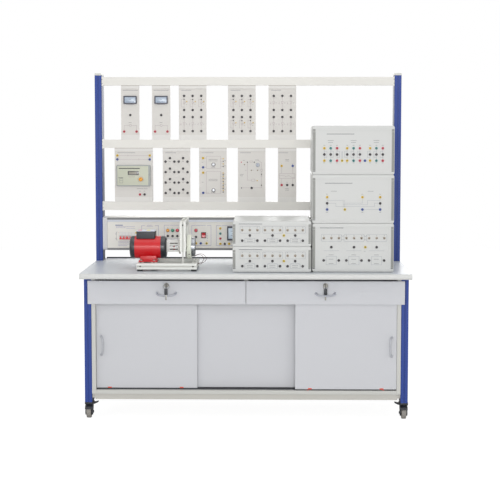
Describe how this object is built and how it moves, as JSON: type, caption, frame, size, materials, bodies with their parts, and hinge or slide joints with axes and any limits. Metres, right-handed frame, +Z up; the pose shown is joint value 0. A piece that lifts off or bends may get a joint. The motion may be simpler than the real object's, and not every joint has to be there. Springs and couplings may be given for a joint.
{
  "type": "power electronics training bench",
  "caption": "Laboratory bench on casters with a cabinet, drawers, a module rack, stacked instrument cases and a motor-brake rig.",
  "frame": {"origin": "on the floor, under the middle of the worktop", "axes": "+X to the right seen from the user, +Y to the back, +Z up"},
  "size_m": [1.668, 0.81, 1.787],
  "materials": {
    "blue_paint": "semi-gloss blue paint",
    "cream_plastic": "matt cream plastic",
    "grey_paint": "light grey paint",
    "worktop_laminate": "pale blue-grey laminate",
    "board_laminate": "light grey laminated board",
    "front_laminate": "light grey laminated board",
    "zinc_steel": "zinc-plated steel",
    "handle_plastic": "dark handles with red rollers",
    "handle_steel": "dark satin metal",
    "key_steel": "nickel-plated",
    "caster_black": "black moulded plastic",
    "tyre_black": "black rubber tread",
    "rail_cream": "cream painted aluminium",
    "module_grey": "warm light grey panel",
    "supply_grey": "warm light grey tray",
    "unit_green": "pale green face in a grey housing",
    "meter_black": "black frame",
    "console_grey": "light grey, dark grey bands",
    "breaker_white": "off-white moulding",
    "lever_red": "red moulding",
    "button_yellow": "yellow",
    "rocker_red": "red",
    "lamp_colours": "coloured lenses",
    "knob_orange": "orange",
    "knob_silver": "satin aluminium",
    "socket_black": "black",
    "socket_red": "red",
    "socket_yellow": "yellow",
    "socket_blue": "blue",
    "socket_green": "green",
    "case_grey": "light grey",
    "bar_grey": "grey",
    "toggle_metal": "satin metal",
    "profile_aluminium": "anodised",
    "motor_red": "gloss red",
    "bell_black": "black paint",
    "box_black": "charcoal moulding with a pale lid",
    "guard_steel": "grey",
    "shaft_steel": "machined",
    "brake_green": "pale green",
    "lead_red": "dark red insulation"
  },
  "bodies": {
    "bench": {"uprights": "blue_paint", "post_caps": "cream_plastic", "base_beams": "grey_paint", "worktop": "worktop_laminate", "cabinet_boards": "board_laminate", "middle_panel": "front_laminate", "runners_and_tracks": "zinc_steel", "module_rails": "rail_cream", "module_boards": "module_grey", "supply_module": "supply_grey", "supply_unit": "unit_green", "panel_meters": "meter_black", "console_body": "console_grey", "breaker_body": "breaker_white", "console_lamps": "lamp_colours", "sockets_black": "socket_black", "sockets_red": "socket_red", "sockets_yellow": "socket_yellow", "sockets_blue": "socket_blue", "sockets_green": "socket_green", "instrument_cases": "case_grey", "case_side_bars": "bar_grey", "rig_frame": "profile_aluminium", "motor_body": "motor_red", "motor_end_bells": "bell_black", "motor_terminal_box": "box_black", "coupling_guard": "guard_steel", "brake_housing": "brake_green", "brake_leads": "lead_red"},
    "drawer_left": {"drawer_left": "front_laminate", "drawer_fittings_left": "handle_steel"},
    "drawer_right": {"drawer_right": "front_laminate", "drawer_fittings_right": "handle_steel"},
    "key_left": {"key_left": "key_steel"},
    "key_right": {"key_right": "key_steel"},
    "door_left": {"door_left": "front_laminate", "door_fittings_left": "handle_plastic"},
    "door_right": {"door_right": "front_laminate", "door_fittings_right": "handle_plastic"},
    "breaker_lever": {"breaker_lever": "lever_red"},
    "test_button": {"test_button": "button_yellow"},
    "rocker": {"rocker_switch": "rocker_red"},
    "supply_dial": {"supply_dial": "knob_orange"},
    "trimmer_upper": {"trimmer_upper": "knob_silver"},
    "trimmer_lower": {"trimmer_lower": "knob_silver"},
    "gain_dial": {"gain_dial": "knob_silver"},
    "toggles_large_case": {"toggles_large_case": "toggle_metal"},
    "toggles_low_case_bottom": {"toggles_low_case_bottom": "toggle_metal"},
    "toggles_low_case_top": {"toggles_low_case_top": "toggle_metal"},
    "rotor": {"rotor_shaft": "shaft_steel"},
    "fork_front_left": {"caster_fork_front_left": "caster_black"},
    "wheel_front_left": {"caster_wheel_front_left": "tyre_black"},
    "fork_front_right": {"caster_fork_front_right": "caster_black"},
    "wheel_front_right": {"caster_wheel_front_right": "tyre_black"},
    "fork_rear_left": {"caster_fork_rear_left": "caster_black"},
    "wheel_rear_left": {"caster_wheel_rear_left": "tyre_black"},
    "fork_rear_right": {"caster_fork_rear_right": "caster_black"},
    "wheel_rear_right": {"caster_wheel_rear_right": "tyre_black"},
    "pedal_left": {"brake_pedal_left": "caster_black"},
    "pedal_right": {"brake_pedal_right": "caster_black"}
  },
  "joints": [
    {"name": "swivel_front_left", "type": "hinge", "parent": "bench", "child": "fork_front_left", "pos_m": [-0.811, -0.188, 0.0847], "axis": [0, 0, 1], "continuous": true},
    {"name": "roll_front_left", "type": "hinge", "parent": "fork_front_left", "child": "wheel_front_left", "pos_m": [-0.811, -0.213, 0.032], "axis": [1, 0, 0], "continuous": true},
    {"name": "swivel_front_right", "type": "hinge", "parent": "bench", "child": "fork_front_right", "pos_m": [0.811, -0.188, 0.0847], "axis": [0, 0, 1], "continuous": true},
    {"name": "roll_front_right", "type": "hinge", "parent": "fork_front_right", "child": "wheel_front_right", "pos_m": [0.811, -0.213, 0.032], "axis": [1, 0, 0], "continuous": true},
    {"name": "swivel_rear_left", "type": "hinge", "parent": "bench", "child": "fork_rear_left", "pos_m": [-0.811, 0.308, 0.0847], "axis": [0, 0, 1], "continuous": true},
    {"name": "roll_rear_left", "type": "hinge", "parent": "fork_rear_left", "child": "wheel_rear_left", "pos_m": [-0.811, 0.283, 0.032], "axis": [1, 0, 0], "continuous": true},
    {"name": "swivel_rear_right", "type": "hinge", "parent": "bench", "child": "fork_rear_right", "pos_m": [0.811, 0.308, 0.0847], "axis": [0, 0, 1], "continuous": true},
    {"name": "roll_rear_right", "type": "hinge", "parent": "fork_rear_right", "child": "wheel_rear_right", "pos_m": [0.811, 0.283, 0.032], "axis": [1, 0, 0], "continuous": true},
    {"name": "pedal_left_press", "type": "hinge", "parent": "fork_front_left", "child": "pedal_left", "pos_m": [-0.7835, -0.188, 0.0737], "axis": [0, 1, 0], "range_deg": [0, 15]},
    {"name": "drawer_left_slide", "type": "slide", "parent": "bench", "child": "drawer_left", "axis": [0, -1, 0], "range_m": [0, 0.35]},
    {"name": "key_left_turn", "type": "hinge", "parent": "drawer_left", "child": "key_left", "pos_m": [-0.40475, -0.262, 0.695], "axis": [0, -1, 0], "range_deg": [0, 90]},
    {"name": "door_left_slide", "type": "slide", "parent": "bench", "child": "door_left", "axis": [1, 0, 0], "range_m": [0, 0.47]},
    {"name": "pedal_right_press", "type": "hinge", "parent": "fork_front_right", "child": "pedal_right", "pos_m": [0.7835, -0.188, 0.0737], "axis": [0, -1, 0], "range_deg": [0, 15]},
    {"name": "drawer_right_slide", "type": "slide", "parent": "bench", "child": "drawer_right", "axis": [0, -1, 0], "range_m": [0, 0.35]},
    {"name": "key_right_turn", "type": "hinge", "parent": "drawer_right", "child": "key_right", "pos_m": [0.40475, -0.262, 0.695], "axis": [0, -1, 0], "range_deg": [0, 90]},
    {"name": "door_right_slide", "type": "slide", "parent": "bench", "child": "door_right", "axis": [-1, 0, 0], "range_m": [0, 0.47]},
    {"name": "breaker_lever_throw", "type": "hinge", "parent": "bench", "child": "breaker_lever", "pos_m": [-0.6675, 0.259, 0.903], "axis": [-1, 0, 0], "range_deg": [0, 60]},
    {"name": "test_button_press", "type": "slide", "parent": "bench", "child": "test_button", "axis": [0, 1, 0], "range_m": [0, 0.002], "stiffness_N_per_m": 100},
    {"name": "rocker_throw", "type": "hinge", "parent": "bench", "child": "rocker", "pos_m": [-0.2415, 0.261, 0.908], "axis": [-1, 0, 0], "range_deg": [0, 16]},
    {"name": "supply_dial_turn", "type": "hinge", "parent": "bench", "child": "supply_dial", "pos_m": [-0.582, 0.2525, 1.213], "axis": [0, -1, 0], "range_deg": [-135, 135]},
    {"name": "trimmer_upper_turn", "type": "hinge", "parent": "bench", "child": "trimmer_upper", "pos_m": [-0.187, 0.2645, 1.293], "axis": [0, -1, 0], "range_deg": [-135, 135]},
    {"name": "trimmer_lower_turn", "type": "hinge", "parent": "bench", "child": "trimmer_lower", "pos_m": [-0.187, 0.2645, 1.153], "axis": [0, -1, 0], "range_deg": [-135, 135]},
    {"name": "gain_dial_turn", "type": "hinge", "parent": "bench", "child": "gain_dial", "pos_m": [0.054, 0.2645, 1.291], "axis": [0, -1, 0], "range_deg": [-135, 135]},
    {"name": "toggles_large_case_throw", "type": "hinge", "parent": "bench", "child": "toggles_large_case", "pos_m": [0.545, -0.3096, 0.941], "axis": [-1, 0, 0], "range_deg": [0, 24]},
    {"name": "toggles_low_case_bottom_throw", "type": "hinge", "parent": "bench", "child": "toggles_low_case_bottom", "pos_m": [0.135, -0.3276, 0.853], "axis": [-1, 0, 0], "range_deg": [0, 24]},
    {"name": "toggles_low_case_top_throw", "type": "hinge", "parent": "bench", "child": "toggles_low_case_top", "pos_m": [0.135, -0.3276, 0.982], "axis": [-1, 0, 0], "range_deg": [0, 24]},
    {"name": "rotor_spin", "type": "hinge", "parent": "bench", "child": "rotor", "pos_m": [-0.35, -0.1525, 0.881], "axis": [1, 0, 0], "continuous": true}
  ]
}
